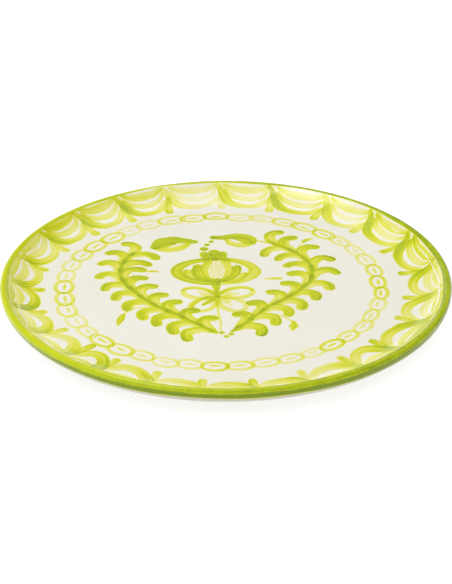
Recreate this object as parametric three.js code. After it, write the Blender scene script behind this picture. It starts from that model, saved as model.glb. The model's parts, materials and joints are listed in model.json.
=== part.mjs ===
// A round serving plate of painted earthenware, 310 mm across.
//
// The plate is thrown and fired as a few real layers and pieces, and each one is
// its own solid here: the clay body, the foot ring luted on under it, the white
// glaze of the painted well, the green glaze over the rolled lip, and the glaze
// of the underside outside and inside the foot ring.
//
// All the layers follow one outline of the glazed surface. It runs from the
// centre of the well, up the wall, over the lip and back in to the centre of the
// underside. A layer is a stretch of that outline, between two depths below it.
//
// Units are millimetres. +Z is up, and the origin is on the plate's axis, at the
// standing face of the foot ring.

import * as THREE from 'three';

const PLATE_RADIUS = 155;
const CREST_HEIGHT = 22;          // standing face to the top of the lip
const LIP_RADIUS = 2.9;           // section radius of the rolled lip
const WELL_DEPTH = 10.8;          // top of the lip down to the glazed well
const WELL_RADIUS = 128;          // where the flat well turns up into the wall
const UNDERSIDE_HEIGHT = 4.9;     // standing face up to the glazed underside
const UNDERSIDE_RADIUS = 131;     // where the flat underside turns up

const FOOT_OUTER_RADIUS = 100;
const FOOT_INNER_RADIUS = 91;
const FOOT_TAPER = 1.2;           // the ring narrows by this on each side
const FOOT_CHAMFER = 1;           // at both edges of the standing face

const GLAZE_THICKNESS = 0.8;
const GAP = 0.3;                  // between pieces that touch
const RIM_GLAZE_DROP = 2.9;       // lip centre down to the green glaze's outer edge

const TURN_SEGMENTS = 72;
const WALL_STEPS = 5;             // along the concave inner wall
const LIP_INSIDE_STEPS = 2;
const LIP_OUTSIDE_STEPS = 4;
const OUTER_STEPS = 6;            // along the convex outer wall

// Derived heights and radii of the lip and the concave wall that meets it.
const WELL_HEIGHT = CREST_HEIGHT - WELL_DEPTH;
const LIP_CENTRE_RADIUS = PLATE_RADIUS - LIP_RADIUS;
const LIP_CENTRE_HEIGHT = CREST_HEIGHT - LIP_RADIUS;
const CLAY_DEPTH = GLAZE_THICKNESS + GAP;

// The wall is an arc that leaves the well flat and joins the lip's circle smoothly.
// The arc's centre and the lip's centre are as far apart as the two radii together.
// That reach is the long side of a right triangle. One short side is the run from the
// well's edge to the lip's centre, and the other is the reach less the well's depth.
const WALL_RUN = LIP_CENTRE_RADIUS - WELL_RADIUS;
const WALL_REACH = (WALL_RUN ** 2 + WELL_DEPTH ** 2) / (2 * WELL_DEPTH);
const WALL_ARC_RADIUS = WALL_REACH - LIP_RADIUS;
const WALL_END_ANGLE = Math.asin(WALL_RUN / WALL_REACH);

// The outer wall is a quarter of an ellipse from the lip's widest point.
const OUTER_RUN = PLATE_RADIUS - UNDERSIDE_RADIUS;
const OUTER_DROP = LIP_CENTRE_HEIGHT - UNDERSIDE_HEIGHT;

/** A point of the glazed surface, with the unit normal that points out of it. */
function surfacePoint(radius, height, normalRadius, normalHeight) {
  const length = Math.hypot(normalRadius, normalHeight);
  return {
    position: new THREE.Vector2(radius, height),
    normal: new THREE.Vector2(normalRadius / length, normalHeight / length),
  };
}

/** The point at an angle of the concave inner wall, 0 at the well's edge. */
function wallPoint(angle) {
  return surfacePoint(
    WELL_RADIUS + WALL_ARC_RADIUS * Math.sin(angle),
    WELL_HEIGHT + WALL_ARC_RADIUS * (1 - Math.cos(angle)),
    -Math.sin(angle),
    Math.cos(angle),
  );
}

/** The point of the lip whose normal leans by an angle: in from upright if positive. */
function lipPoint(angle) {
  return surfacePoint(
    LIP_CENTRE_RADIUS - LIP_RADIUS * Math.sin(angle),
    LIP_CENTRE_HEIGHT + LIP_RADIUS * Math.cos(angle),
    -Math.sin(angle),
    Math.cos(angle),
  );
}

/** The point at an angle of the convex outer wall, 0 at the flat underside. */
function outerPoint(angle) {
  return surfacePoint(
    UNDERSIDE_RADIUS + OUTER_RUN * Math.sin(angle),
    LIP_CENTRE_HEIGHT - OUTER_DROP * Math.cos(angle),
    Math.sin(angle) / OUTER_RUN,
    -Math.cos(angle) / OUTER_DROP,
  );
}

/** Points of one stretch of the outline, from one angle to another. */
function stretch(pointAt, from, to, steps) {
  return Array.from({ length: steps + 1 }, (_, i) => pointAt(from + ((to - from) * i) / steps));
}

const UPRIGHT = Math.PI / 2;
const RIM_END_ANGLE = Math.acos(RIM_GLAZE_DROP / OUTER_DROP);

// The outline's stretches. The lip's crest is one of its points.
const wellCentre = surfacePoint(0, WELL_HEIGHT, 0, 1);
const innerWall = stretch(wallPoint, 0, WALL_END_ANGLE, WALL_STEPS);
const lip = [
  ...stretch(lipPoint, WALL_END_ANGLE, 0, LIP_INSIDE_STEPS),
  ...stretch(lipPoint, 0, -UPRIGHT, LIP_OUTSIDE_STEPS).slice(1),
];
const rimEdge = outerPoint(RIM_END_ANGLE);
const outerWall = stretch(outerPoint, RIM_END_ANGLE, 0, OUTER_STEPS);
const footOutside = surfacePoint(FOOT_OUTER_RADIUS + GAP, UNDERSIDE_HEIGHT, 0, -1);
const footInside = surfacePoint(FOOT_INNER_RADIUS - GAP, UNDERSIDE_HEIGHT, 0, -1);
const undersideCentre = surfacePoint(0, UNDERSIDE_HEIGHT, 0, -1);

/** The points of an outline moved in below the surface by a depth. */
function sunk(outline, depth) {
  return outline.map(({ position, normal }) => position.clone().addScaledVector(normal, -depth));
}

/** Moves a point along the outline, so that two glazes end a gap apart. */
function slid({ position, normal }, distance) {
  const along = new THREE.Vector2(normal.y, -normal.x);
  return { position: position.clone().addScaledVector(along, distance), normal };
}

/**
 * Turns a closed section about the plate's axis, which is Y for the lathe and Z here.
 * A section that touches the axis is made to start and end there.
 */
function turned(section) {
  const axisStart = section.findIndex((point, i) => point.x === 0 && section.at(i - 1).x === 0);
  const profile = axisStart < 0
    ? [...section, section[0]]
    : [...section.slice(axisStart), ...section.slice(0, axisStart)];
  return new THREE.LatheGeometry(profile.reverse(), TURN_SEGMENTS).rotateX(UPRIGHT);
}

/** The solid between a stretch of the surface and the glaze's depth below it. */
function glazeLayer(outline) {
  return turned([...sunk(outline, 0), ...sunk(outline, GLAZE_THICKNESS).reverse()]);
}

/** The clay under all the glazes, in one piece from the well to the lip. */
function clayBody() {
  const outline = [wellCentre, ...innerWall, ...lip.slice(1), ...outerWall, undersideCentre];
  return turned(sunk(outline, CLAY_DEPTH));
}

/** The unglazed ring that the plate stands on, tapered, with a chamfered face. */
function footRing() {
  const top = UNDERSIDE_HEIGHT + CLAY_DEPTH - GAP;
  const outerBase = FOOT_OUTER_RADIUS - FOOT_TAPER;
  const innerBase = FOOT_INNER_RADIUS + FOOT_TAPER;
  const corners = [
    [FOOT_INNER_RADIUS, top],
    [FOOT_OUTER_RADIUS, top],
    [outerBase, FOOT_CHAMFER],
    [outerBase - FOOT_CHAMFER, 0],
    [innerBase + FOOT_CHAMFER, 0],
    [innerBase, FOOT_CHAMFER],
  ];
  return turned(corners.map(([radius, height]) => new THREE.Vector2(radius, height)));
}

const halfGap = GAP / 2;
const wellOutline = [wellCentre, ...innerWall.slice(0, -1), slid(innerWall.at(-1), -halfGap)];
const rimOutline = [slid(lip[0], halfGap), ...lip.slice(1), slid(rimEdge, -halfGap)];
const undersideOutline = [slid(rimEdge, halfGap), ...outerWall.slice(1), footOutside];
const baseOutline = [footInside, undersideCentre];

const clay = { color: 0xcbb49a, roughness: 0.9, metalness: 0 };
const whiteGlaze = { color: 0xf0ece1, roughness: 0.15, metalness: 0 };
const greenGlaze = { color: 0xa6b526, roughness: 0.12, metalness: 0 };

const plate = new THREE.Group();

/** Adds one named piece to the plate. */
function addPiece(name, geometry, look) {
  const mesh = new THREE.Mesh(geometry, new THREE.MeshStandardMaterial(look));
  mesh.name = name;
  plate.add(mesh);
}

addPiece('clay_body', clayBody(), clay);
addPiece('foot_ring', footRing(), clay);
addPiece('well_glaze', glazeLayer(wellOutline), whiteGlaze);
addPiece('rim_glaze', glazeLayer(rimOutline), greenGlaze);
addPiece('underside_glaze', glazeLayer(undersideOutline), whiteGlaze);
addPiece('base_glaze', glazeLayer(baseOutline), whiteGlaze);

export default plate;
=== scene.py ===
"""The looks of a hand painted ceramic plate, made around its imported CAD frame.

The glazes are dense smooth meshes. The decoration is brushed on with simulated brush
strokes: each vertex of a glaze keeps how much green pigment lies on it, and the glaze
material turns that load into colour, gloss and a slight relief.

Objects are in metres. The sizes and the strokes are in millimetres, in the plate's own
frame: +Z up, the viewer at -Y, the origin under the middle of the foot ring.
"""
import json
import math

import bpy
import numpy as np
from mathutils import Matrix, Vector


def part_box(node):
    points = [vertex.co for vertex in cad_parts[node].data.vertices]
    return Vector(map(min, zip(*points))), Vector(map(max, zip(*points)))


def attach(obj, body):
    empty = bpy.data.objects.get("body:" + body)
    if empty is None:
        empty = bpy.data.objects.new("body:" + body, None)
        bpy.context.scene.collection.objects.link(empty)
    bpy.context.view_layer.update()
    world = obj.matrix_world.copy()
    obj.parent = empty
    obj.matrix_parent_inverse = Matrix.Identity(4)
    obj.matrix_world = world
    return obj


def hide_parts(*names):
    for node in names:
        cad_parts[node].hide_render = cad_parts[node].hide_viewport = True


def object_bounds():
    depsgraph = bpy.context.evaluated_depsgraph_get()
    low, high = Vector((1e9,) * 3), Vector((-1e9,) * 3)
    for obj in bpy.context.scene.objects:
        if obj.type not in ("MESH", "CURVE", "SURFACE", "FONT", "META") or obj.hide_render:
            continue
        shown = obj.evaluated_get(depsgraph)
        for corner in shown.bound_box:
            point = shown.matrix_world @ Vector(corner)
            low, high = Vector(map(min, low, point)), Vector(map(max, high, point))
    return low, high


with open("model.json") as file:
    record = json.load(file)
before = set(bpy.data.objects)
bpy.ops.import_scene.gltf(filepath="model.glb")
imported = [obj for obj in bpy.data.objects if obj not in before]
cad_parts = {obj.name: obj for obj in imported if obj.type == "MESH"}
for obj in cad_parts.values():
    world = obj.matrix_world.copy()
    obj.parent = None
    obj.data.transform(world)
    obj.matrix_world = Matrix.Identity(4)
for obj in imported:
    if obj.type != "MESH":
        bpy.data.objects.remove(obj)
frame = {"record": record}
cad_box = [list(corner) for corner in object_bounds()]

MM = 0.001
SEED = 24

# Sizes of the plate, in millimetres. Those that the frame holds are read from it.
PLATE_RADIUS = cad_box[1][0] / MM
CREST_HEIGHT = cad_box[1][2] / MM
MOUNT_HEIGHT = {m["name"]: m["pos_m"][2] / MM for m in frame["record"]["mounts"]}
WELL_HEIGHT = MOUNT_HEIGHT["well_face"]
UNDERSIDE_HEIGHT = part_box("base_glaze")[0][2] / MM
FOOT_OUTER_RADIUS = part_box("foot_ring")[1][0] / MM
FOOT_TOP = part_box("foot_ring")[1][2] / MM
BASE_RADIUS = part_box("base_glaze")[1][0] / MM
LIP_RADIUS = 2.9
WELL_RADIUS = 128.0                     # of the flat of the well, where the wall starts
UNDERSIDE_RADIUS = 131.0                # of the flat underneath
GLAZE_THICKNESS = 0.8
CLAY_DEPTH = GLAZE_THICKNESS + 0.3      # from the glazed surface down to the clay
FOOT_INNER_RADIUS = 91.0
FOOT_TAPER = 1.2
FOOT_EDGE_RADIUS = 1.0

LIP_CENTRE_RADIUS = PLATE_RADIUS - LIP_RADIUS
LIP_CENTRE_HEIGHT = CREST_HEIGHT - LIP_RADIUS
WALL_RUN = LIP_CENTRE_RADIUS - WELL_RADIUS
WELL_DEPTH = CREST_HEIGHT - WELL_HEIGHT
WALL_REACH = (WALL_RUN**2 + WELL_DEPTH**2) / (2 * WELL_DEPTH)
WALL_ARC_RADIUS = WALL_REACH - LIP_RADIUS
WALL_END_ANGLE = math.asin(WALL_RUN / WALL_REACH)
OUTER_RUN = PLATE_RADIUS - UNDERSIDE_RADIUS
OUTER_DROP = LIP_CENTRE_HEIGHT - UNDERSIDE_HEIGHT


# ---------------- the glazed outline

def surface_outline():
    """Points (radius, height) of the glazed surface, from the well's centre over the lip
    to the underside's centre, close together, with their unit outward normals."""
    well = np.linspace(0, WELL_RADIUS, 257)
    wall = np.linspace(0, WALL_END_ANGLE, 120)[1:]
    lip = np.linspace(WALL_END_ANGLE, -math.pi / 2, 120)[1:]
    outer = np.linspace(math.pi / 2, 0, 200)[1:]
    under = np.linspace(UNDERSIDE_RADIUS, 0, 253)[1:]
    flat = np.zeros_like
    stretches = [       # radius, height, and the normal's outward and upward parts
        (well, flat(well) + WELL_HEIGHT, flat(well), flat(well) + 1),
        (WELL_RADIUS + WALL_ARC_RADIUS * np.sin(wall),
         WELL_HEIGHT + WALL_ARC_RADIUS * (1 - np.cos(wall)), -np.sin(wall), np.cos(wall)),
        (LIP_CENTRE_RADIUS - LIP_RADIUS * np.sin(lip),
         LIP_CENTRE_HEIGHT + LIP_RADIUS * np.cos(lip), -np.sin(lip), np.cos(lip)),
        (UNDERSIDE_RADIUS + OUTER_RUN * np.sin(outer),
         LIP_CENTRE_HEIGHT - OUTER_DROP * np.cos(outer),
         np.sin(outer) / OUTER_RUN, -np.cos(outer) / OUTER_DROP),
        (under, flat(under) + UNDERSIDE_HEIGHT, flat(under), flat(under) - 1),
    ]
    columns = [np.concatenate(column) for column in zip(*stretches)]
    points = np.column_stack(columns[:2])
    normals = np.column_stack(columns[2:])
    return points, normals / np.linalg.norm(normals, axis=1, keepdims=True)


def lengths_along(path):
    """How far along a path each of its points lies."""
    steps = np.linalg.norm(np.diff(path, axis=0), axis=1)
    return np.concatenate([[0], np.cumsum(steps)])


OUTLINE, OUTLINE_NORMALS = surface_outline()
OUTLINE_LENGTHS = lengths_along(OUTLINE)


def along_outline(length):
    """The outline's points and normals at lengths measured along it from the well's centre."""
    columns = [np.interp(length, OUTLINE_LENGTHS, column) for column in OUTLINE.T]
    normals = [np.interp(length, OUTLINE_LENGTHS, column) for column in OUTLINE_NORMALS.T]
    normals = np.stack(normals, -1)
    return np.stack(columns, -1), normals / np.linalg.norm(normals, axis=-1, keepdims=True)


def length_at(passes):
    """The outline length of the first outline point for which an array of tests says yes."""
    return OUTLINE_LENGTHS[np.flatnonzero(passes)[0]]


FACES_DOWN = OUTLINE_NORMALS[:, 1] < 0
CREST_LENGTH = OUTLINE_LENGTHS[np.argmax(OUTLINE[:, 1])]
WELL_END = CREST_LENGTH - 2.0       # where the well glaze hands over to the rim glaze
RIM_END = CREST_LENGTH + 5.6        # and the rim glaze to the underside's
FOOT_END = length_at((OUTLINE[:, 0] <= FOOT_OUTER_RADIUS + 0.1) & FACES_DOWN)
BASE_START = length_at((OUTLINE[:, 0] <= BASE_RADIUS) & FACES_DOWN)


def smooth(value):
    """0 below 0, 1 above 1, and an even slope between them."""
    value = np.clip(value, 0, 1)
    return value * value * (3 - 2 * value)


def towards(angle, degrees):
    """1 in a direction given in degrees, falling to 0 a quarter turn away and beyond."""
    return np.cos(angle - math.radians(degrees)).clip(0, 1)


def hand_wobble(angle, length):
    """How far the thrown surface lies below its ideal one, in millimetres: never above it."""
    slow = 0.10 * (1 + np.sin(3 * angle + 0.8)) + 0.06 * (1 + np.sin(5 * angle + 2.1))
    rings = 0.02 * (1 + np.sin(0.9 * length + 0.6 * np.sin(2 * angle)))
    ripples = 0.025 * (1 + np.sin(2.3 * length + 3 * np.sin(7 * angle) + np.sin(19 * angle)))
    up_the_wall = smooth((length - 138) / 6) * smooth((CREST_LENGTH - 4 - length) / 3)
    to_the_sides = np.cos(angle) ** 2
    return slow * np.clip(length / 60, 0, 1) + rings + ripples * up_the_wall * to_the_sides


def in_space(length, angle, depth=0.0):
    """Points in metres, at lengths along the outline and at angles about the axis, and at a
    depth under the surface. Any of them may be one value or an array."""
    length, angle = np.broadcast_arrays(length, angle)
    points, normals = along_outline(length)
    sunk = depth + hand_wobble(angle, length)
    radius = points[..., 0] - normals[..., 0] * sunk
    height = points[..., 1] - normals[..., 1] * sunk
    return np.stack([radius * np.cos(angle), radius * np.sin(angle), height], -1) * MM


# ---------------- brush strokes

def curve(*knots, steps=28):
    """A smooth path through given knots (a Catmull-Rom spline)."""
    knots = np.array(knots, float)
    padded = np.vstack([2 * knots[0] - knots[1], knots, 2 * knots[-1] - knots[-2]])
    t = np.linspace(0, len(knots) - 1, steps)
    i = np.minimum(t.astype(int), len(knots) - 2)
    u = (t - i)[:, None]
    a, b, c, d = (padded[i + k] for k in range(4))
    return 0.5 * (2 * b + (c - a) * u + (2 * a - 5 * b + 4 * c - d) * u**2
                  + (3 * b - a - 3 * c + d) * u**3)


class Canvas:
    """Points of a glaze in plan, in millimetres, and the load of pigment on each: 0 is
    bare white glaze, and HEAVY is a load that hides it."""

    SOFT_EDGE = 0.9
    HEAVY = 0.68

    def __init__(self, x, y):
        self.x = x.ravel()
        self.y = y.ravel()
        self.load = np.zeros(x.size)
        self.random = np.random.default_rng(SEED)

    def near(self, path, reach):
        """The numbers of the points in a box around a path."""
        low = path.min(0) - reach
        high = path.max(0) + reach
        return np.flatnonzero(
            (self.x > low[0]) & (self.x < high[0]) & (self.y > low[1]) & (self.y < high[1]))

    def lay(self, index, load):
        """Adds pigment. Where two strokes cross, the load is more than either, but not their
        sum, and a load that is already heavy grows slowly."""
        under = self.load[index]
        total = np.maximum(under, load) + 0.2 * np.minimum(under, load)
        heavy = np.maximum(total - self.HEAVY, 0)
        self.load[index] = np.minimum(total, self.HEAVY) + 0.6 * heavy

    def stroke(self, path, widths, loads, dark_side=0.0, streaks=0.15, pool=0.08):
        """One pull of a round brush along a path. widths and loads are evenly spaced along it.
        dark_side is how much more pigment lies on its left edge, or its right if negative."""
        index = self.near(path, max(widths) / 2 + 2 * self.SOFT_EDGE)
        point = np.column_stack([self.x[index], self.y[index]])
        along, across = nearest_on(path, point)
        half = np.interp(along, np.linspace(0, 1, len(widths)), widths) / 2
        wave = self.random.uniform(0, 2 * math.pi, 6)
        half = half * (1 + 0.05 * np.sin(9 * along + wave[0]) + 0.03 * np.sin(23 * along + wave[1]))
        side = across / np.maximum(half, 0.2)
        bristles = (np.cos(4.2 * side + wave[2] + 1.5 * along)
                    + 0.7 * np.cos(8.5 * side + wave[3] - 2 * along)
                    + 0.55 * np.cos(15 * side + wave[4] + 2.5 * along))
        load = np.interp(along, np.linspace(0, 1, len(loads)), loads)
        edge = half - np.abs(across)
        load = load * (1 + streaks * bristles + pool * np.exp(-((edge - 0.8) / 0.7) ** 2))
        load = load * (1 + dark_side * np.clip(side, -1, 1))
        self.lay(index, np.maximum(load, 0) * smooth(edge / self.SOFT_EDGE + 0.5))

    def dab(self, centre, width, load, length=0.0, heading=0.0):
        """A touch of the brush: a round dot, or a drop drawn out by a length."""
        reach = np.array([math.cos(heading), math.sin(heading)]) * max(length, 0.1) / 2
        path = np.linspace(np.array(centre) - reach, np.array(centre) + reach, 5)
        self.stroke(path, [width, width], [load, load], streaks=0.06, pool=0.0)


def nearest_on(path, point):
    """For each point, how far along the path its nearest place is, from 0 to 1, and its
    distance from there, positive on the left."""
    start, step = path[:-1], np.diff(path, axis=0)
    size = np.maximum((step**2).sum(1), 1e-9)
    away = point[:, None, :] - start[None]
    t = np.clip((away * step).sum(2) / size, 0, 1)
    gap = away - t[..., None] * step
    distance = np.hypot(gap[..., 0], gap[..., 1])
    best = distance.argmin(1)
    row = np.arange(len(point))
    lengths = np.sqrt(size)
    so_far = np.concatenate([[0], np.cumsum(lengths)])
    along = (so_far[best] + t[row, best] * lengths[best]) / so_far[-1]
    turn = step[best, 0] * away[row, best, 1] - step[best, 1] * away[row, best, 0]
    return along, np.where(turn < 0, -1, 1) * distance[row, best]


# ---------------- the decoration

SWAGS = 24
FIRST_JOINT = math.radians(122)
BORDER_SHIFT = np.array([-1.0, 1.3])     # the painter's border sits a little off centre
JOINT_DRIFT = math.radians(4.5)          # and its joints creep along it
BORDER_TOP = 147.0                       # the border sags more and more from this radius
BORDER_DEPTH = 16.0                      # down to this far inside it
CHAIN_CENTRE = np.array([-2.8, 4.9])
CHAIN_RADIUS = 109.6
LINKS = 41


def polar(angle, radius, centre=(0.0, 0.0)):
    """Points at angles and radii about a centre."""
    return np.column_stack([radius * np.cos(angle), radius * np.sin(angle)]) + centre


def apart(angle, degrees):
    """The angle between a direction given in degrees and others, at most half a turn."""
    return np.abs(np.angle(np.exp(1j * (angle - math.radians(degrees)))))


def border_sag(angle):
    """How much lower than usual the border hangs at an angle: the hand swung low in front,
    to the left and to the right."""
    return sum(depth * np.exp(-(apart(angle, middle) / math.radians(width)) ** 2)
               for middle, width, depth in ((226, 26, 8.5), (322, 28, 6.5)))


def border_path(angle, radius):
    """A path in the border. The lower it is in the border, the more it follows the sag."""
    lowered = radius - border_sag(angle) * np.clip((BORDER_TOP - radius) / BORDER_DEPTH, 0, 1)
    return polar(angle, lowered, BORDER_SHIFT)


def paint_swags(canvas):
    """Three nested crescents from joint to joint under the lip, and a tail at each joint."""
    pull = canvas.random
    turns = np.arange(SWAGS + 1) * 2 * math.pi / SWAGS
    joints = FIRST_JOINT + turns - JOINT_DRIFT * (1 - np.cos(turns))
    joints[1:-1] += pull.uniform(-0.02, 0.02, SWAGS - 1)
    for i in range(SWAGS):
        wet = 0.36 + 0.16 * abs(math.cos(joints[i])) + 0.08 * math.sin(1.9 * i + 0.4)
        wet += pull.uniform(-0.05, 0.05)
        paint_swag(canvas, joints[i + 1], joints[i] - joints[i + 1], wet)
        paint_tail(canvas, joints[i], wet)


def paint_swag(canvas, start, span, wet):
    """One set of crescents, brushed from its wet end at an angle, across a span of angle.
    The painter reached across the plate, so they hang lower at the back and are broader in
    front. They are paler to the back left, and to the back right their pigment is thinned
    more to paint the pale reflection of the lamp on the wall."""
    pull = canvas.random
    middle_angle = start + span / 2
    back = towards(middle_angle, 90)
    front = towards(middle_angle, 270)
    breadth = 1.2 - 0.2 * back + 0.4 * front
    # thin pales the top and middle crescents: to the back right it is a painted reflection of the
    # lamp, to the back left they are only paler
    thin = 1 - 0.52 * towards(middle_angle, 48) - 0.24 * towards(middle_angle, 150) ** 2
    low = pull.uniform(-1.2, 1.2) + 0.8 * front
    drop = 1.8 * back
    inset = pull.uniform(0.05, 0.1, 3)
    top = curve((inset[0], 149.8 - drop), (0.28, 147.4 - drop), (0.5, 146.8 - drop),
                (0.74, 147.5 - drop), (1 - inset[1], 149.8 - drop))
    belly = 0.4 * low - 1.1 * drop
    middle = curve((0.1, 146.8 - drop), (0.24, 142.6 - drop), (0.44, 140.6 + belly),
                   (0.66, 140.8 + belly), (0.84, 143.4 - drop), (0.98 - inset[2], 146.6 - drop))
    lowest = curve((-0.09, 149.0), (-0.01, 146.0), (0.06, 141.0), (0.17, 135.2),
                   (0.34, 131.6 + low), (0.55, 130.6 + low), (0.76, 132.6 + 0.7 * low),
                   (0.94, 138.6))
    for shape, widths, loads in (
            (top, [2.0, 4.2, 4.8, 4.4, 2.4], [0.95, thin * 1.1, thin * 1.05, thin * 0.9, 0.75]),
            (middle, [2.6, 4.2, 4.6, 4.2, 2.4], [0.95, thin * 0.8, thin * 0.66, thin * 0.56, 0.62]),
            (lowest, [2.4, 5.2, 6.8, 6.4, 5.6, 5.2, 5.2, 4.4],
             [0.8, 1.4, 1.45, 1.05, 0.8, 0.66, 0.58, 0.6])):
        path = border_path(start + span * shape[:, 0], shape[:, 1])
        loads = wet * pull.uniform(0.85, 1.15) * np.array(loads)
        canvas.stroke(path, breadth * np.array(widths), loads, dark_side=-0.12, streaks=0.15)


def paint_tail(canvas, joint, wet):
    """The short pull of the brush that ends a joint between two swags."""
    pull = canvas.random
    lean = pull.uniform(-0.015, 0.02)
    reach = pull.uniform(-2.0, 1.5)
    angle = joint + lean * np.array([-0.3, 0.3, 0.8, 1.0])
    radius = np.array([141.0, 136.5, 131.8, 128.0]) + reach * np.array([0, 0.3, 0.8, 1.0])
    load = wet * pull.uniform(0.75, 1.0)
    canvas.stroke(curve(*border_path(angle, radius)), [4.0, 5.2, 5.8, 6.0],
                  load * np.array([1.2, 0.95, 0.8, 1.1]), streaks=0.2)


def paint_chain(canvas):
    """A ring of lens shaped links, each brushed as two arcs with a dash inside."""
    pull = canvas.random
    arc = np.linspace(0, math.pi, 16)
    for i in range(LINKS):
        middle = 2 * math.pi * (i + 0.5) / LINKS + pull.uniform(-0.006, 0.006)
        wet = 0.17 + 0.18 * (1 - (i % 5) / 4) ** 2 + pull.uniform(-0.03, 0.05)
        half_link = math.pi / LINKS * pull.uniform(1.02, 1.2)
        centre_radius = CHAIN_RADIUS + pull.uniform(-0.7, 0.7)
        for side in (1, -1):
            bulge = pull.uniform(4.2, 5.8) + 1.1 * towards(middle, 180)
            angle = middle + half_link * np.cos(arc)
            radius = centre_radius + side * bulge * np.sin(arc)
            canvas.stroke(polar(angle, radius, CHAIN_CENTRE), [2.0, 2.9, 2.7, 2.6, 1.6],
                          wet * np.array([1.5, 1.1, 0.9, 0.9, 1.2]))
        dash = middle + half_link * np.linspace(0.42, -0.36, 6)
        canvas.stroke(polar(dash, centre_radius - 0.4, CHAIN_CENTRE), [1.0, 2.2, 1.4],
                      wet * np.array([1.1, 1.2]))


LEFT_STEM = curve((-6, -60), (-16, -50), (-25, -42), (-33, -34), (-42, -27), (-51, -18),
                  (-58, -9), (-65, 2), (-70, 11), (-73, 21), (-74, 31), (-72, 41), (-70, 49),
                  (-65, 57), steps=80)
RIGHT_STEM = curve((3.5, -58), (10, -50), (17, -40), (24, -30), (30, -22), (38, -14), (46, -5),
                   (53, 5), (58, 14), (60, 24), (60, 34), (58, 43), (52, 54), (44, 63), (36, 69),
                   (31, 76), steps=80)


def place_on(path, distance):
    """The place at a distance along a path, or the path's end if it is shorter."""
    lengths = lengths_along(path)
    return np.array([np.interp(distance, lengths, column) for column in path.T])


def direction_on(path, distance):
    """The direction of a path around a distance along it, as a unit vector."""
    step = place_on(path, distance + 4) - place_on(path, distance - 4)
    return step / np.linalg.norm(step)


def paint_leaf(canvas, stem, distance, side, reach, rise, droop, size):
    """A comma shaped leaf. Its tail lies along the stem, then it arches over to a round tip,
    at a reach from the stem. side is 1 to the left of the growing stem and -1 to its right."""
    pull = canvas.random
    place = place_on(stem, distance)
    forward = direction_on(stem, distance)
    behind = place_on(stem, max(distance - 10, 0.5))
    outward = side * np.array([-forward[1], forward[0]])
    reach = reach * pull.uniform(0.95, 1.05)
    rise = rise * pull.uniform(0.94, 1.06)
    arch = [(0.0, 1.5), (0.5 * rise, 0.17 * reach), (0.88 * rise, 0.42 * reach),
            (rise, 0.7 * reach), (rise - 0.3 * droop, 0.92 * reach),
            (rise - 0.8 * droop, 1.06 * reach)]
    knots = [behind + 0.6 * outward] + [place + f * forward + o * outward for f, o in arch]
    widths = size * np.array([2.2, 4.8, 7.2, 8.8, 9.2, 8.4, 7.4])
    loads = pull.uniform(0.88, 1.1) * np.array([0.58, 0.5, 0.38, 0.38, 0.46, 0.61, 0.67])
    canvas.stroke(curve(*knots), widths, loads, dark_side=-side * 0.28, streaks=0.17, pool=0.1)


def paint_branch(canvas, stem, side, outer, inner):
    """A stem with leaves, brushed over with a thicker touch where each outer leaf joins it.
    outer and inner each hold how many leaves there are on that side, and for the first and
    last of them the distance along the stem, reach, rise and droop."""
    for leaf_side, (count, first, last) in ((side, outer), (-side, inner)):
        for t in np.linspace(0, 1, count):
            distance, reach, rise, droop = (1 - t) * np.array(first) + t * np.array(last)
            size = 1.03 - 0.12 * t
            paint_leaf(canvas, stem, distance, leaf_side, reach, rise, droop, size)
    canvas.stroke(stem, [1.0, 2.8, 2.8, 2.2], [0.54, 0.58], streaks=0.24)
    for distance in np.linspace(outer[1][0], outer[2][0], outer[0]):
        touch = [place_on(stem, distance + step) for step in (-8.5, -4.0, 0.0, 4.0)]
        canvas.stroke(curve(*touch), [1.4, 3.0, 4.4, 3.0], [0.46, 0.6, 0.72, 0.56],
                      streaks=0.22)


FRUIT_CENTRE = np.array([-7.2, 29.0])


def around_fruit(start, end, half_width, half_height, steps=30):
    """An elliptical path about the fruit's centre, between two angles in degrees."""
    angle = np.radians(np.linspace(start, end, steps))
    ellipse = np.column_stack([half_width * np.cos(angle), half_height * np.sin(angle)])
    return ellipse + FRUIT_CENTRE


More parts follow.
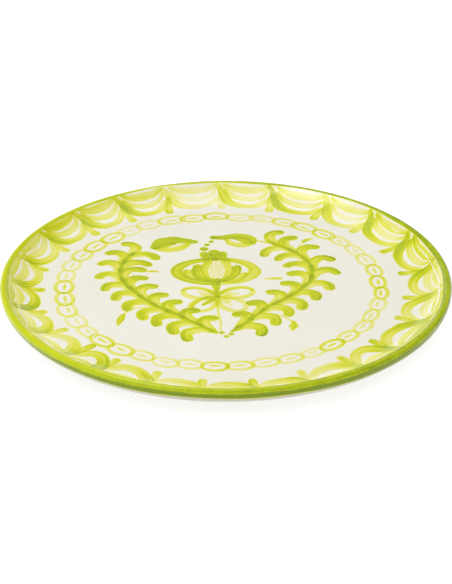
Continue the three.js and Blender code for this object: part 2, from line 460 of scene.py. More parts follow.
def paint_fruit(canvas):
    """The pomegranate: a thick rind, petals of pulp, a lattice of seeds and a crown."""
    canvas.stroke(around_fruit(104, 268, 27.4, 17.6), [5.5, 7.4, 8.2, 8.4, 7.0],
                  [0.66, 0.56, 0.58, 0.6, 0.62], dark_side=-0.1, streaks=0.22)
    canvas.stroke(around_fruit(76, -88, 27.0, 17.8), [6.0, 7.6, 9.0, 8.0, 6.6],
                  [0.56, 0.42, 0.4, 0.32, 0.34], dark_side=0.15, streaks=0.24)
    petals = [
        (curve((-9, 13), (-20, 16), (-26.5, 22), (-27, 28.6)), 6.0, 0.4),
        (curve((-8, 13), (-17, 18), (-21, 26), (-19.6, 35.6)), 6.8, 0.64),
        (curve((-7.6, 13), (-13.5, 21), (-15.2, 32), (-11.6, 45)), 6.2, 0.44),
        (curve((-5.2, 13), (0.3, 21), (2.0, 32), (-1.4, 45)), 6.2, 0.36),
        (curve((-5, 13), (2, 18), (6.8, 25), (7.4, 34.4)), 6.6, 0.62),
        (curve((-5, 13), (5, 14), (11, 18.5), (12.8, 24.6)), 5.0, 0.4),
    ]
    for path, width, load in petals:
        dark_side = 0.2 if path[-1][0] < FRUIT_CENTRE[0] else -0.2
        canvas.stroke(path, [3.0, width * 0.8, width, width], load * np.array([1.25, 1, 0.9, 1.1]),
                      dark_side, streaks=0.16, pool=0.3)
    paint_seeds(canvas, (-6.5, 29.8), 5.2, 14.4)
    for spot, width, load in (((-15.4, 53.8), 6.8, 0.6), ((-12.6, 50.8), 8.0, 0.66),
                              ((-8.4, 56.4), 7.8, 0.72), ((-7.6, 50.4), 9.6, 0.68),
                              ((-3.4, 50.8), 8.0, 0.68), ((-2.6, 54.8), 6.6, 0.66)):
        canvas.dab(spot, width, load, length=2.2, heading=math.pi / 2)
    for knots in (((-8, 47.8), (-13, 47.2), (-18.5, 45.4)), ((-7, 47.8), (-2, 47.4), (3.5, 45.8))):
        canvas.stroke(curve(*knots), [5.6, 4.6, 2.0], [0.72, 0.66, 0.56])
    canvas.stroke(curve((-8.6, 16), (-8.4, 8), (-7.2, 0), (-6.4, -8)), [3.4, 3.2, 2.2, 2.4],
                  [0.56, 0.6, 0.6, 0.72])
    canvas.stroke(curve((-5.6, 16), (-5.4, 8), (-5.8, 0), (-6.0, -8)), [4.0, 3.2, 2.4, 2.4],
                  [0.68, 0.7, 0.66, 0.74])


def paint_seeds(canvas, centre, half_width, half_height):
    """A lattice of thin crossing lines inside a pointed oval left white."""
    index = canvas.near(np.array([centre]), half_height)
    x = canvas.x[index] - centre[0]
    y = canvas.y[index] - centre[1]
    oval = half_width * (1 - np.abs(y / half_height) ** 2.2).clip(0, 1)
    inside = smooth((oval - np.abs(x)) / 1.2 + 0.5) * (np.abs(y) < half_height)
    lines = np.zeros_like(x)
    for lean, spacing in ((20, 2.5), (-24, 2.7)):
        lean = math.radians(lean)
        across = x * math.cos(lean) + y * math.sin(lean) + 0.3 * np.sin(y)
        gap = np.abs(across / spacing - np.round(across / spacing)) * spacing
        lines = np.maximum(lines, smooth(1.1 - gap / 0.52))
    canvas.load[index] *= 1 - inside
    canvas.lay(index, 0.36 * lines * inside)


def paint_bow(canvas, centre=np.array([-6.0, -9.0])):
    """Four open petals under the fruit, each brushed as two arcs, with a dash inside."""
    half_turn = np.linspace(0.05, math.pi, 20)
    for heading, length, width, upper_load, lower_load in (
            (159, 25, 8.0, 0.4, 0.27), (22, 26, 8.2, 0.42, 0.28),
            (232, 25, 8.2, 0.46, 0.3), (314, 26, 8.8, 0.22, 0.26)):
        forward = polar(math.radians(heading), 1)[0]
        left = np.array([-forward[1], forward[0]])
        along = length * np.sin(half_turn / 2) ** 2
        across = width * np.sin(half_turn) * np.sin(half_turn / 2) ** 0.5
        for side in (1, -1):
            load = upper_load if side * left[1] > 0 else lower_load
            path = centre + np.outer(along, forward) + side * np.outer(across, left)
            canvas.stroke(path, [3.2, 4.2, 4.6, 4.4, 3.4],
                          load * np.array([1.7, 1.3, 1.0, 0.95, 1.1]), streaks=0.24)
        for offset in (-1.2, 1.6):
            reach = np.linspace(0.22, 0.6 if offset < 0 else 0.48, 5) * length
            dash = centre + np.outer(reach, forward) + offset * left
            canvas.stroke(dash, [2.0, 2.8, 1.4], np.array([1.3, 0.9, 0.8]) * lower_load)
    canvas.stroke(curve((-8.5, -13), (-12, -17), (-15.4, -20.8)), [3.0, 2.6, 2.6],
                  [0.7, 0.56, 0.66])
    canvas.stroke(curve((-6.0, -18), (-5.2, -32), (-3.6, -44), (-3.6, -56)),
                  [2.2, 1.4, 1.8, 1.2], [0.4, 0.26, 0.3])


def paint_almonds(canvas):
    """The two plump buds over the fruit, dark above and pale below, around a white heart."""
    canvas.stroke(curve((-50.5, 66), (-46, 74), (-38, 76.6), (-30, 76), (-22.5, 74)),
                  [6.5, 11.5, 11.5, 7.6, 5.6], [0.72, 0.7, 0.74, 0.76, 0.86], dark_side=-0.1)
    canvas.stroke(curve((-50, 66), (-45, 69), (-38, 72)), [7, 9.5, 5.5], [0.62, 0.56, 0.66])
    canvas.stroke(curve((-50, 64), (-43.5, 62.2), (-34.5, 63.4), (-27.2, 70.4)),
                  [4.4, 7.6, 8.4, 4.8], [0.44, 0.36, 0.34, 0.45], dark_side=-0.15)
    canvas.stroke(curve((-8.8, 80.8), (-2, 80.6), (5, 82.4), (13, 82.4), (18.8, 78), (19.2, 72)),
                  [6, 6, 8.4, 8.4, 6.4, 4.0], [0.86, 0.76, 0.66, 0.6, 0.62, 0.6])
    canvas.stroke(curve((4, 80.8), (10.5, 79), (15, 75.6)), [3, 7.6, 9.0], [0.66, 0.62, 0.6])
    canvas.stroke(curve((0.4, 77.5), (3.6, 71.4), (12, 68.7), (19, 72.4)),
                  [3.6, 5.8, 6.4, 5.0], [0.44, 0.38, 0.36, 0.45], dark_side=-0.15)
    for spot, size in (((-15.4, 62.7), 6.0), ((-13.4, 69.2), 4.0), ((-10.4, 74.2), 3.6)):
        canvas.dab(spot, size, 0.85)


def paint_small_buds(canvas):
    """Thin curved stalks with a small bud each, and loose touches of the brush around them."""
    for knots, widths, loads in (
            (((-55, -24.5), (-61, -25), (-66, -29), (-70, -36)), [1.0, 1.5, 1.2], [0.36, 0.34, 0.4]),
            (((-69.4, -35), (-71, -41), (-72.4, -49)), [3.2, 5.4, 1.6], [0.5, 0.55, 0.5]),
            (((25, -35), (33, -34.4), (39, -37.5), (44.5, -44)), [0.9, 1.4, 1.1], [0.34, 0.32, 0.36]),
            (((45.4, -45), (45.6, -50), (44.4, -57)), [3.0, 6.4, 1.2], [0.5, 0.5, 0.5]),
            (((51, 64), (52.6, 69), (56, 74)), [0.8, 1.1], [0.3, 0.32]),
            (((55.5, 74.6), (58, 77.4), (61.5, 79.6)), [3.2, 3.6, 1.6], [0.66, 0.55, 0.4]),
            (((20.5, 76), (26, 74.5), (31, 72)), [1.4, 2.0, 2.0], [0.45, 0.4, 0.5]),
            (((-55.6, 28.4), (-52, 28.8), (-47, 28.4)), [1.6, 3.4, 1.4], [0.4, 0.46, 0.36]),
            (((27, 17.2), (33, 17.8), (37.5, 18)), [1.4, 3.2, 3.6], [0.36, 0.36, 0.4])):
        canvas.stroke(curve(*knots), widths, loads)
    for spot in ((-2.6, -59.4), (0.2, -64.6), (3.6, -61.4)):
        canvas.dab(spot, 3.6, 0.72)


def paint_well(canvas):
    """The whole decoration of the well and its wall, in the order that it was brushed."""
    paint_swags(canvas)
    paint_chain(canvas)
    paint_branch(canvas, LEFT_STEM, 1, (11, (4, 18.5, 10, 8), (146, 12.5, 9.5, 2)),
                 (9, (8, 11.5, 11.5, 4), (137, 16.5, 10, 3)))
    paint_branch(canvas, RIGHT_STEM, -1, (11, (8, 16.5, 8.5, 7.5), (158, 13.5, 13, 2.5)),
                 (8, (15, 10.5, 10, 4), (147, 17, 8, 3)))
    paint_fruit(canvas)
    paint_bow(canvas)
    paint_almonds(canvas)
    paint_small_buds(canvas)


def rim_load(angle, length):
    """Green glaze over the lip: brushed on along it, thin on the crest, loaded more on the
    right and down its outside as painted shade, and with a faint wash below."""
    past_crest = length - CREST_LENGTH
    inner = -3.3 + 0.3 * np.sin(7 * angle + 1) + 0.2 * np.sin(17 * angle)
    inner = inner + 1.5 * towards(angle, 90) ** 1.2 - 1.1 * towards(angle, 0) ** 16
    outer = 8.9 + 0.4 * np.sin(5 * angle) + 0.3 * np.sin(13 * angle + 2)
    cover = smooth((past_crest - inner) / 0.9 + 0.5) * smooth((outer - past_crest) / 0.9 + 0.5)
    # Heavier to the right, lighter to the left: painted shade on the side away from the lamp.
    heavy = 0.775 + 0.12 * np.cos(angle) + 0.05 * towards(angle, 90)
    brushed = (0.03 * np.sin(3 * angle + length * 0.6) + 0.02 * np.sin(11 * angle - length)
               + 0.02 * np.sin(29 * angle + 1.4 * length) + 0.03 * np.sin(2.2 * length))
    crest = 0.08 * np.exp(-(past_crest / 1.6) ** 2)
    # Darker down the outside, where the lip turns under, and more so to the right: painted shade.
    shade_painted_below = (0.49 + 0.2 * np.cos(angle)) * smooth((past_crest - 3.2) / 4.8)
    run_down = 0.03 * smooth(past_crest / 2) * smooth((outer + 7 - past_crest) / 5)
    return np.maximum(cover * (heavy + brushed - crest + shade_painted_below), run_down)


# ---------------- meshes

def make_mesh(name, vertices, quads, triangles=(), attributes=None):
    """A smooth shaded object, with float attributes on its vertices."""
    quads = np.asarray(quads, np.int32)
    triangles = np.asarray(triangles, np.int32).reshape(-1, 3)
    starts = np.concatenate([4 * np.arange(len(quads)), quads.size + 3 * np.arange(len(triangles))])
    mesh = bpy.data.meshes.new(name)
    mesh.vertices.add(len(vertices))
    mesh.vertices.foreach_set("co", np.asarray(vertices, np.float32).ravel())
    mesh.loops.add(quads.size + triangles.size)
    mesh.loops.foreach_set("vertex_index", np.concatenate([quads.ravel(), triangles.ravel()]))
    mesh.polygons.add(len(starts))
    mesh.polygons.foreach_set("loop_start", starts.astype(np.int32))
    mesh.update(calc_edges=True)
    mesh.polygons.foreach_set("use_smooth", np.ones(len(starts), bool))
    for key, values in (attributes or {}).items():
        layer = mesh.attributes.new(key, "FLOAT", "POINT")
        layer.data.foreach_set("value", np.asarray(values, np.float32).ravel())
    mesh.validate()
    thing = bpy.data.objects.new(name, mesh)
    bpy.context.scene.collection.objects.link(thing)
    return thing


def band_quads(near, far):
    """Quads between two rings of vertex numbers. They face out of a solid if the rings
    follow its section from the top outwards, down and back in."""
    return np.stack([near, far, np.roll(far, -1), np.roll(near, -1)], -1)


def turned_solid(name, rings, poles, attributes=None):
    """A solid turned about the axis from rings of points. With two poles it starts and ends
    on the axis, and with none its last ring is joined to its first."""
    number = np.arange(rings.shape[0] * rings.shape[1]).reshape(rings.shape[:2])
    quads = [band_quads(number[i], number[i + 1]) for i in range(len(number) - 1)]
    vertices = rings.reshape(-1, 3)
    triangles = []
    if len(poles):
        first, last = vertices.shape[0], vertices.shape[0] + 1
        vertices = np.concatenate([vertices, poles])
        start, end = number[0], number[-1]
        triangles = [np.stack([np.full_like(start, first), start, np.roll(start, -1)], -1),
                     np.stack([end, np.full_like(end, last), np.roll(end, -1)], -1)]
        triangles = np.concatenate(triangles)
    else:
        quads.append(band_quads(number[-1], number[0]))
    values = {key: np.concatenate([np.ravel(value), np.zeros(len(poles))])
              for key, value in (attributes or {}).items()}
    return make_mesh(name, vertices, np.concatenate(quads), triangles, values)


def sharpen(thing, *edge_rings):
    """Marks the edges along rings of vertex numbers as sharp, so the shading breaks there."""
    mesh = thing.data
    on_ring = np.zeros(len(mesh.vertices), np.int32)
    for k, ring in enumerate(edge_rings):
        on_ring[ring] = k + 1
    ends = np.empty(2 * len(mesh.edges), np.int32)
    mesh.edges.foreach_get("vertices", ends)
    side = on_ring[ends].reshape(-1, 2)
    sharp = (side[:, 0] > 0) & (side[:, 0] == side[:, 1])
    layer = mesh.attributes.new("sharp_edge", "BOOLEAN", "EDGE")
    layer.data.foreach_set("value", sharp)


WELL_RINGS = 300
ROUND = 8 * WELL_RINGS          # vertices on the well's last ring
COARSE_ROUND = ROUND // 2       # and on the rings of pieces with less to show
PAINT_RELIEF = 0.05             # how much a heavy load of pigment stands above bare glaze


def all_around(count):
    """Evenly spaced angles about the axis."""
    return np.linspace(0, 2 * math.pi, count, endpoint=False)


def well_grid():
    """A square grid folded into a disc: ring index, from 0 to 1, and angle of each vertex.
    Every ring of the square becomes a circle, so the vertices stay evenly apart."""
    side = np.arange(-WELL_RINGS, WELL_RINGS + 1)
    a, b = np.meshgrid(side, side, indexing="xy")
    ring = np.maximum(np.abs(a), np.abs(b))
    safe = np.maximum(ring, 1)
    quarter = math.pi / 4
    angle = np.select(
        [a == ring, b == ring, a == -ring],
        [quarter * b / safe, quarter * (2 - a / safe), quarter * (4 - b / safe)],
        quarter * (6 + a / safe))
    return ring / WELL_RINGS, angle


def painted_reflection_lines(angle, length):
    """1 on thin lines along the wall, to the left and right, where pigment is taken off to
    paint pale reflection lines on the glaze, and 0 beside them."""
    nearness = np.zeros_like(length)
    drift = 0.3 * np.sin(9 * angle) + 0.15 * np.sin(31 * angle)
    for radius, middle, half_width in ((148.4, 193, 17), (143.6, 196, 9), (146.0, -4, 9)):
        gap = np.abs(length - length_at(OUTLINE[:, 0] >= radius) - drift)
        ends = smooth((math.radians(half_width) - apart(angle, middle)) / 0.05)
        nearness = np.maximum(nearness, smooth(1.25 - gap / 0.65) * ends)
    return nearness


def make_well():
    """The painted glaze: its surface, and an underside that closes it into a solid."""
    ring, angle = well_grid()
    length = ring * WELL_END
    flat = in_space(length, angle)
    canvas = Canvas(flat[..., 0] / MM, flat[..., 1] / MM)
    paint_well(canvas)
    # Pigment is taken off along thin lines on the wall to paint pale reflections.
    load = canvas.load.reshape(ring.shape) * (1 - 0.85 * painted_reflection_lines(angle, length))
    load = np.maximum(load, rim_load(angle, length))
    top = in_space(length, angle, PAINT_RELIEF * (1 - load.clip(0, 1)))
    number = np.arange(ring.size).reshape(ring.shape)
    corners = [number[:-1, :-1], number[:-1, 1:], number[1:, 1:], number[1:, :-1]]
    quads = [np.stack(corners, -1).reshape(-1, 4)]

    edge = number[ring == 1]
    turn = np.round(angle[ring == 1] / (2 * math.pi / ROUND)).astype(int) % ROUND
    edge = edge[np.argsort(turn)]
    lengths_below = np.array([WELL_END, 140.0, 128.0, 64.0, 16.0])
    below = in_space(lengths_below[:, None], all_around(ROUND), GLAZE_THICKNESS).reshape(-1, 3)
    rings = [edge, *(ring.size + np.arange(len(below)).reshape(-1, ROUND))]
    quads += [band_quads(near, far) for near, far in zip(rings, rings[1:])]
    centre = ring.size + len(below)
    triangles = np.stack([rings[-1], np.full(ROUND, centre), np.roll(rings[-1], -1)], -1)
    vertices = np.concatenate([top.reshape(-1, 3), below, [in_space(0.0, 0.0, GLAZE_THICKNESS)]])
    paint = np.concatenate([load.ravel(), np.zeros(len(vertices) - load.size)])
    thing = make_mesh("painted_well_glaze", vertices, np.concatenate(quads), triangles,
                      {"paint": paint})
    sharpen(thing, rings[0], rings[1])
    return thing


def make_glaze_ring(name, start, end, step, around):
    """A glaze that is a stretch of the outline turned about the axis, closed on itself."""
    count = int(round((end - start) / step)) + 1
    angle = all_around(around)
    outside = np.linspace(start, end, count)[:, None]
    inside = np.linspace(end, start, count // 4 + 2)[:, None]
    load = rim_load(angle, outside)
    unpainted = np.zeros((len(inside), around))
    rings = np.concatenate([in_space(outside, angle, PAINT_RELIEF * (1 - load)),
                            in_space(inside, angle, GLAZE_THICKNESS)])
    paint = np.concatenate([load, unpainted])
    bare = np.concatenate([wiped_edge(angle, outside), unpainted])
    thing = turned_solid(name, rings, [], {"paint": paint, "bare": bare})
    number = np.arange(paint.size).reshape(paint.shape)
    sharpen(thing, number[0], number[count - 1], number[count], number[-1])
    return thing


def wiped_edge(angle, length):
    """1 where the glaze was wiped off beside the foot, down to the clay."""
    ragged = 0.35 * np.sin(6 * angle + 1) + 0.2 * np.sin(17 * angle) + 0.1 * np.sin(41 * angle)
    return smooth((length - (FOOT_END - 1.0 + ragged)) / 0.5 + 0.5)


STILT_RADIUS = 61.0         # the kiln's three points stood at this radius
STILT_SIZE = 1.7            # and each left a scar of this radius
STILT_DEPTH = 0.55


def stilt_scar(x, y):
    """How near a point is to the middle of a scar that a kiln point left: 1 in it, 0 away."""
    nearness = np.zeros_like(x)
    for degrees in (100, 220, 340):
        (centre_x, centre_y), = polar(math.radians(degrees), STILT_RADIUS)
        away = np.hypot(x - centre_x, y - centre_y)
        nearness = np.maximum(nearness, 1 - away / STILT_SIZE)
    return nearness.clip(0, 1)


def make_base_glaze():
    """The glaze inside the foot ring, with the three small scars of the kiln's points."""
    angle = all_around(COARSE_ROUND)
    last = OUTLINE_LENGTHS[-1]
    upper = np.linspace(last - 4.0, BASE_START, 12)[:, None]
    lower = np.linspace(BASE_START, last - 1.0, 130)[:, None]
    flat = in_space(lower, angle) / MM
    scar = stilt_scar(flat[..., 0], flat[..., 1])
    rings = np.concatenate([in_space(upper, angle, GLAZE_THICKNESS),
                            in_space(lower, angle, PAINT_RELIEF + STILT_DEPTH * smooth(scar * 1.6))])
    wiped = smooth((BASE_START + 0.9 - lower) / 0.6)
    bare = np.concatenate([np.zeros((len(upper), COARSE_ROUND)),
                           np.maximum(smooth(scar * 2.2 - 0.5), wiped)])
    poles = [in_space(last, 0.0, GLAZE_THICKNESS), in_space(last, 0.0, PAINT_RELIEF)]
    thing = turned_solid("scarred_base_glaze", rings, poles,
                         {"paint": np.zeros(bare.shape), "bare": bare})
    number = np.arange(bare.size).reshape(bare.shape)
    sharpen(thing, number[len(upper) - 1], number[len(upper)])
    return thing


def make_clay_body():
    """The thrown clay under every glaze, from the well's centre over the lip and round to
    the underside's. Its wall and lip have closer rings than its flats."""
    angle = all_around(COARSE_ROUND // 2)
    last = OUTLINE_LENGTHS[-1]
    wall_start, wall_end = 126, last - 128
    lengths = np.concatenate([np.arange(8, wall_start, 8.0), np.arange(wall_start, wall_end, 1.2),
                              np.arange(wall_end, last, 8.0)])[:, None]
    rough = 0.05 + 0.05 * np.sin(1.3 * lengths + angle)
    rings = in_space(lengths, angle, CLAY_DEPTH + rough)
    poles = [in_space(0.0, 0.0, CLAY_DEPTH), in_space(last, 0.0, CLAY_DEPTH)]
    return turned_solid("thrown_clay_body", rings, poles)


def foot_section():
    """The foot ring's section (radius, height): tapered walls and two worn round edges."""
    outer = FOOT_OUTER_RADIUS - FOOT_TAPER
    inner = FOOT_INNER_RADIUS + FOOT_TAPER
    edge = FOOT_EDGE_RADIUS
    turn = np.linspace(0, math.pi / 2, 9)
    down = np.linspace(0, 1, 22)[1:-1]
    across = np.linspace(0, 1, 16)[1:-1]
    top = np.linspace(FOOT_INNER_RADIUS, FOOT_OUTER_RADIUS, 10)
    stretches = [
        (top, np.full_like(top, FOOT_TOP)),
        (FOOT_OUTER_RADIUS - FOOT_TAPER * down, FOOT_TOP + (edge - FOOT_TOP) * down),
        (outer - edge + edge * np.cos(turn), edge - edge * np.sin(turn)),
        (outer - edge + (inner - outer + 2 * edge) * across, np.zeros_like(across)),
        (inner + edge - edge * np.sin(turn), edge - edge * np.cos(turn)),
        (inner - FOOT_TAPER * down, edge + (FOOT_TOP - edge) * down),
    ]
    return [np.concatenate(column) for column in zip(*stretches)]


def make_foot_ring():
    """The bare foot: turned with a tool that left fine grooves, and worn where it stands."""
    radius, height = (values[:, None] for values in foot_section())
    angle = all_around(COARSE_ROUND)
    groove = (0.07 * (1 + np.sin(7.5 * height + 0.7 * np.sin(angle)))
              + 0.05 * (1 + np.sin(9 * angle + 4 * height))
              + 0.05 * (1 + np.sin(53 * angle + 3 * height) * np.sin(31 * angle - 2 * height)))
    middle = (FOOT_OUTER_RADIUS + FOOT_INNER_RADIUS) / 2
    side = np.clip((radius - middle) / 3.0, -1, 1)
    worn = 0.05 * (1 + np.sin(6 * angle + radius)) * (height < FOOT_EDGE_RADIUS) * np.abs(side)
    place = radius - side * groove
    rings = np.stack([place * np.cos(angle), place * np.sin(angle), height + worn], -1) * MM
    return turned_solid("turned_foot_ring", rings, [])


# ---------------- materials

def from_srgb(*levels):
    """Linear colour of an sRGB one given as 0 to 255."""
    parts = [level / 255 for level in levels]
    return tuple(p / 12.92 if p <= 0.04 else ((p + 0.055) / 1.055) ** 2.4 for p in parts) + (1,)


WHITE_GLAZE = from_srgb(238, 236, 225)
CLAY_PALE = from_srgb(216, 184, 150)
CLAY_DARK = from_srgb(176, 138, 104)
PIGMENT = [                             # its colour at rising loads, over the white glaze
    (0.08, from_srgb(237, 233, 190)),
    (0.20, from_srgb(232, 229, 138)),
    (0.34, from_srgb(224, 223, 84)),
    (0.46, from_srgb(213, 215, 36)),
    (0.60, from_srgb(196, 205, 6)),
    (0.76, from_srgb(176, 191, 2)),
    (1.00, from_srgb(118, 138, 4)),
]


def new_material(name):
    """A material, its node tree and its Principled shader."""
    material = bpy.data.materials.new(name)
    material.use_nodes = True
    tree = material.node_tree
    return material, tree, tree.nodes["Principled BSDF"]


def node(tree, kind, **values):
    """A node with its settings and its unlinked inputs set by name."""
    made = tree.nodes.new(kind)
    for key, value in values.items():
        if hasattr(made, key):
            setattr(made, key, value)
        else:
            made.inputs[key.replace("_", " ")].default_value = value
    return made


def noise(tree, place, scale, detail=2.0):
    """A noise output, from about 0.3 to 0.7, with features about 1 / scale metres across."""
    made = node(tree, "ShaderNodeTexNoise", Scale=scale, Detail=detail)
    tree.links.new(place, made.inputs["Vector"])
    return made.outputs["Fac"]


def remap(tree, value, low, high, to_low, to_high):
    """A value moved from one range to another, and kept within it."""
    made = node(tree, "ShaderNodeMapRange",
                From_Min=low, From_Max=high, To_Min=to_low, To_Max=to_high)
    tree.links.new(value, made.inputs["Value"])
    return made.outputs["Result"]


def calculate(tree, operation, a, b):
    """The result of an operation on two values, each of them an output or a number."""
    made = node(tree, "ShaderNodeMath", operation=operation)
    for socket, value in zip(made.inputs, (a, b)):
        if isinstance(value, (int, float)):
            socket.default_value = value
        else:
            tree.links.new(value, socket)
    return made.outputs[0]


def mixed(tree, amount, a, b, blend="MIX"):
    """Two colours mixed by an amount. Each of them is an output or a colour."""
    made = node(tree, "ShaderNodeMix", data_type="RGBA", blend_type=blend)
    tree.links.new(amount, made.inputs[0])
    for socket, value in ((made.inputs[6], a), (made.inputs[7], b)):
        if isinstance(value, tuple):
            socket.default_value = value
        else:
            tree.links.new(value, socket)
    return made.outputs[2]


def ramp(tree, value, stops):
    """A colour ramp over a value. stops holds positions and colours in rising order."""
    made = node(tree, "ShaderNodeValToRGB")
    elements = made.color_ramp.elements
    elements[0].position, elements[0].color = stops[0]
    elements[1].position, elements[1].color = stops[-1]
    for position, colour in stops[1:-1]:
        elements.new(position).color = colour
    tree.links.new(value, made.inputs["Fac"])
    return made.outputs["Color"]


def spots(tree, place, scale, size, share):
    """1 inside scattered round spots. size is a part of their spacing, and share is how many
    of the places for a spot hold one."""
    cells = node(tree, "ShaderNodeTexVoronoi", Scale=scale)
    tree.links.new(place, cells.inputs["Vector"])
    picked = node(tree, "ShaderNodeSeparateColor")
    tree.links.new(cells.outputs["Color"], picked.inputs["Color"])
    inside = remap(tree, cells.outputs["Distance"], size, 0.4 * size, 0.0, 1.0)
    chosen = calculate(tree, "LESS_THAN", picked.outputs["Red"], share)
    return calculate(tree, "MULTIPLY", inside, chosen)


def pigment_over(white):
    """Colour stops for a rising load of pigment over a glaze. The thinner the pigment is, the
    more of the glaze's colour shows through it, with any shade painted into that colour."""
    shade = np.array(white) / np.array(WHITE_GLAZE)
    return [(0.0, white)] + [(load, tuple(np.array(colour) * (shade + (1 - shade) * load)))
                             for load, colour in PIGMENT]


def glaze_material(name, white=WHITE_GLAZE, shine=0.5, speck_share=0.03):
    """Clear glaze over pigment: its colour follows the load, which varies a little from place
    to place. It has a few iron specks and pinholes, a softly uneven surface, and clay where
    it is bare."""
    material, tree, shader = new_material(name)
    link = tree.links.new
    place = node(tree, "ShaderNodeTexCoord").outputs["Object"]
    paint = node(tree, "ShaderNodeAttribute", attribute_name="paint").outputs["Fac"]
    bare = node(tree, "ShaderNodeAttribute", attribute_name="bare").outputs["Fac"]

    fine = remap(tree, noise(tree, place, 480.0, 3.0), 0.3, 0.7, 0.95, 1.05)
    wash = remap(tree, noise(tree, place, 110.0, 2.0), 0.3, 0.7, 0.95, 1.05)
    load = calculate(tree, "MULTIPLY", paint, calculate(tree, "MULTIPLY", fine, wash))
    colour = ramp(tree, load, pigment_over(white))
    cloudy = remap(tree, noise(tree, place, 28.0, 3.0), 0.35, 0.7, 0.0, 0.5)
    colour = mixed(tree, cloudy, colour, from_srgb(250, 249, 243), "MULTIPLY")
    speck = spots(tree, place, 210.0, 0.16, speck_share)
    colour = mixed(tree, calculate(tree, "MULTIPLY", speck, 0.5), colour, from_srgb(128, 112, 70))
    clay = mixed(tree, noise(tree, place, 900.0, 4.0), CLAY_DARK, CLAY_PALE)
    colour = mixed(tree, bare, colour, clay)
    link(colour, shader.inputs["Base Color"])
    shader.inputs["Specular IOR Level"].default_value = shine

    rough = remap(tree, noise(tree, place, 60.0, 2.0), 0.3, 0.7, 0.12, 0.18)
    rough = calculate(tree, "ADD", rough, calculate(tree, "MULTIPLY", paint, 0.05))
    rough = calculate(tree, "ADD", rough, calculate(tree, "MULTIPLY", bare, 0.65))
    link(rough, shader.inputs["Roughness"])

    pinhole = spots(tree, place, 150.0, 0.09, 0.12)
    height = calculate(tree, "ADD", noise(tree, place, 190.0, 1.0),
                       calculate(tree, "MULTIPLY", noise(tree, place, 650.0, 2.0), 0.12))
    height = calculate(tree, "SUBTRACT", height, pinhole)
    uneven = node(tree, "ShaderNodeBump", Strength=0.22, Distance=0.00012)
    link(height, uneven.inputs["Height"])
    link(uneven.outputs["Normal"], shader.inputs["Normal"])
    return material


def clay_material():
    """Bare fired clay: sandy, with paler grog, darker pores and the rings of the turning tool."""
    material, tree, shader = new_material("fired_clay")
    link = tree.links.new
    place = node(tree, "ShaderNodeTexCoord").outputs["Object"]
    grain = noise(tree, place, 800.0, 6.0)
    cloud = noise(tree, place, 60.0, 3.0)
    colour = ramp(tree, grain, [(0.3, CLAY_DARK), (0.72, CLAY_PALE)])
    cloudy = remap(tree, cloud, 0.35, 0.7, 0.0, 0.55)
    colour = mixed(tree, cloudy, colour, from_srgb(232, 208, 178), "MULTIPLY")
    grog = spots(tree, place, 520.0, 0.3, 0.25)
    colour = mixed(tree, calculate(tree, "MULTIPLY", grog, 0.6), colour, from_srgb(236, 220, 196))
    pores = spots(tree, place, 700.0, 0.22, 0.2)
    colour = mixed(tree, calculate(tree, "MULTIPLY", pores, 0.7), colour, from_srgb(112, 82, 58))
    link(colour, shader.inputs["Base Color"])
    link(remap(tree, grain, 0.3, 0.7, 0.72, 0.95), shader.inputs["Roughness"])

    turning = node(tree, "ShaderNodeTexWave", wave_type="RINGS", rings_direction="Z",
                   Scale=95.0, Distortion=1.5, Detail=2.0)
    link(place, turning.inputs["Vector"])
    height = calculate(tree, "ADD", calculate(tree, "MULTIPLY", turning.outputs["Fac"], 0.5), grain)
    height = calculate(tree, "SUBTRACT", height, pores)
    sandy = node(tree, "ShaderNodeBump", Strength=0.5, Distance=0.0002)
    link(height, sandy.inputs["Height"])
    link(sandy.outputs["Normal"], shader.inputs["Normal"])
    return material


def wear(thing, material, slot, *nodes):
    """Gives a piece its material, hangs it on the root body and hides the CAD nodes that it stands
    for. slot is not used.
    """
    thing.data.materials.append(material)
    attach(thing, "root")
    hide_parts(*nodes)


# ---------------- the scene

VIEW_ELEVATION = math.radians(27.8)
VIEW_DISTANCE = 11 * PLATE_RADIUS
LENS = 153.0
AIM_HEIGHT = 9.9            # where the middle of the view crosses the axis
KEY_PLACE = (-0.85, -0.2, 1.75)
SKY = [                     # brightness by height: 0 is the horizon and below, 1 overhead
    (0.0, 0.6), (0.05, 0.6), (0.2, 1.0), (0.36, 0.2), (0.58, 0.2), (0.8, 1.02), (1.0, 1.02)]


def make_camera():
    """A long lens that looks down at the plate from far in front of it."""
    camera = bpy.data.objects.new("camera", bpy.data.cameras.new("camera"))
    bpy.context.scene.collection.objects.link(camera)
    bpy.context.scene.camera = camera
    camera.data.lens = LENS
    camera.data.clip_end = 20
    lip_centre = np.array([0, 0, LIP_CENTRE_HEIGHT])
    back = np.array([0, -math.cos(VIEW_ELEVATION), math.sin(VIEW_ELEVATION)])
    eye = lip_centre + back * VIEW_DISTANCE
    tilt = math.atan2(eye[2] - AIM_HEIGHT, -eye[1])
    camera.location = eye * MM
    camera.rotation_euler = (math.pi / 2 - tilt, 0, 0)


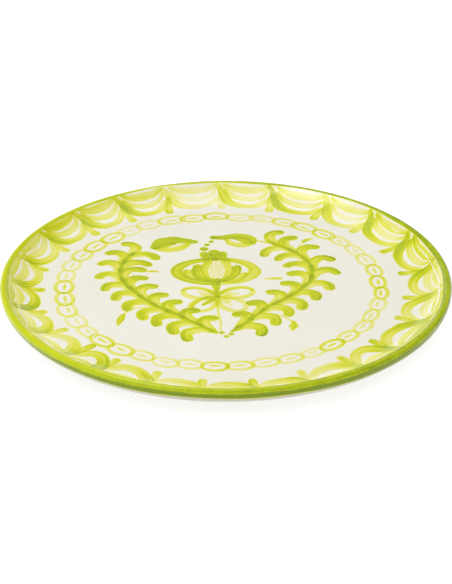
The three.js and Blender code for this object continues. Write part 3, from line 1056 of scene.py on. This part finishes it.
def make_key_light():
    """A round soft box above the left shoulder, aimed at the plate."""
    lamp = bpy.data.lights.new("key", "AREA")
    lamp.shape = "DISK"
    lamp.size = 1.05
    lamp.energy = 10.5
    thing = bpy.data.objects.new("key", lamp)
    bpy.context.scene.collection.objects.link(thing)
    thing.location = KEY_PLACE
    thing.rotation_euler = (-Vector(KEY_PLACE)).to_track_quat("-Z", "Y").to_euler()


def make_floor():
    """A pale floor that glows a little, like a light table, so that shadows stay faint."""
    bpy.ops.mesh.primitive_plane_add(size=12)
    floor = bpy.context.object
    floor.name = "studio_floor"
    material, _, shader = new_material("studio_floor")
    shader.inputs["Base Color"].default_value = (0.62, 0.62, 0.62, 1)
    shader.inputs["Roughness"].default_value = 0.9
    shader.inputs["Specular IOR Level"].default_value = 0.1
    shader.inputs["Emission Color"].default_value = (1, 1, 1, 1)
    shader.inputs["Emission Strength"].default_value = 0.66
    floor.data.materials.append(material)


def make_sky():
    """Soft light from all around, in broad bands by height, and dimmer to the right."""
    world = bpy.data.worlds.new("studio")
    world.use_nodes = True
    tree = world.node_tree
    place = node(tree, "ShaderNodeTexCoord")
    direction = node(tree, "ShaderNodeSeparateXYZ")
    tree.links.new(place.outputs["Generated"], direction.inputs[0])
    grey = [(height, (level, level, level, 1)) for height, level in SKY]
    background = tree.nodes["Background"]
    tree.links.new(ramp(tree, direction.outputs["Z"], grey), background.inputs["Color"])
    strength = remap(tree, direction.outputs["X"], 0.0, 0.9, 1.34, 0.9)
    tree.links.new(strength, background.inputs["Strength"])
    bpy.context.scene.world = world


bpy.context.scene.view_settings.view_transform = "Standard"
make_camera()
painted = glaze_material("painted_glaze", shine=0.45, speck_share=0.0004)
wear(make_well(), painted, "painted_glaze", "well_glaze")
rim = make_glaze_ring("brushed_rim_glaze", WELL_END, RIM_END, 0.3, ROUND)
wear(rim, glaze_material("green_glaze", shine=0.26), "green_glaze", "rim_glaze")
# The underside glaze is a darker grey than the well's white: painted shade, since the underside lies
# out of the light.
white = glaze_material("white_glaze", white=from_srgb(182, 180, 166), shine=0.2)
underside = make_glaze_ring("glossy_underside_glaze", RIM_END, FOOT_END, 0.8, COARSE_ROUND)
wear(underside, white, "white_glaze", "underside_glaze")
wear(make_base_glaze(), white, "white_glaze", "base_glaze")
clay = clay_material()
wear(make_clay_body(), clay, "fired_clay", "clay_body")
wear(make_foot_ring(), clay, "fired_clay", "foot_ring")
make_floor()
make_sky()
make_key_light()
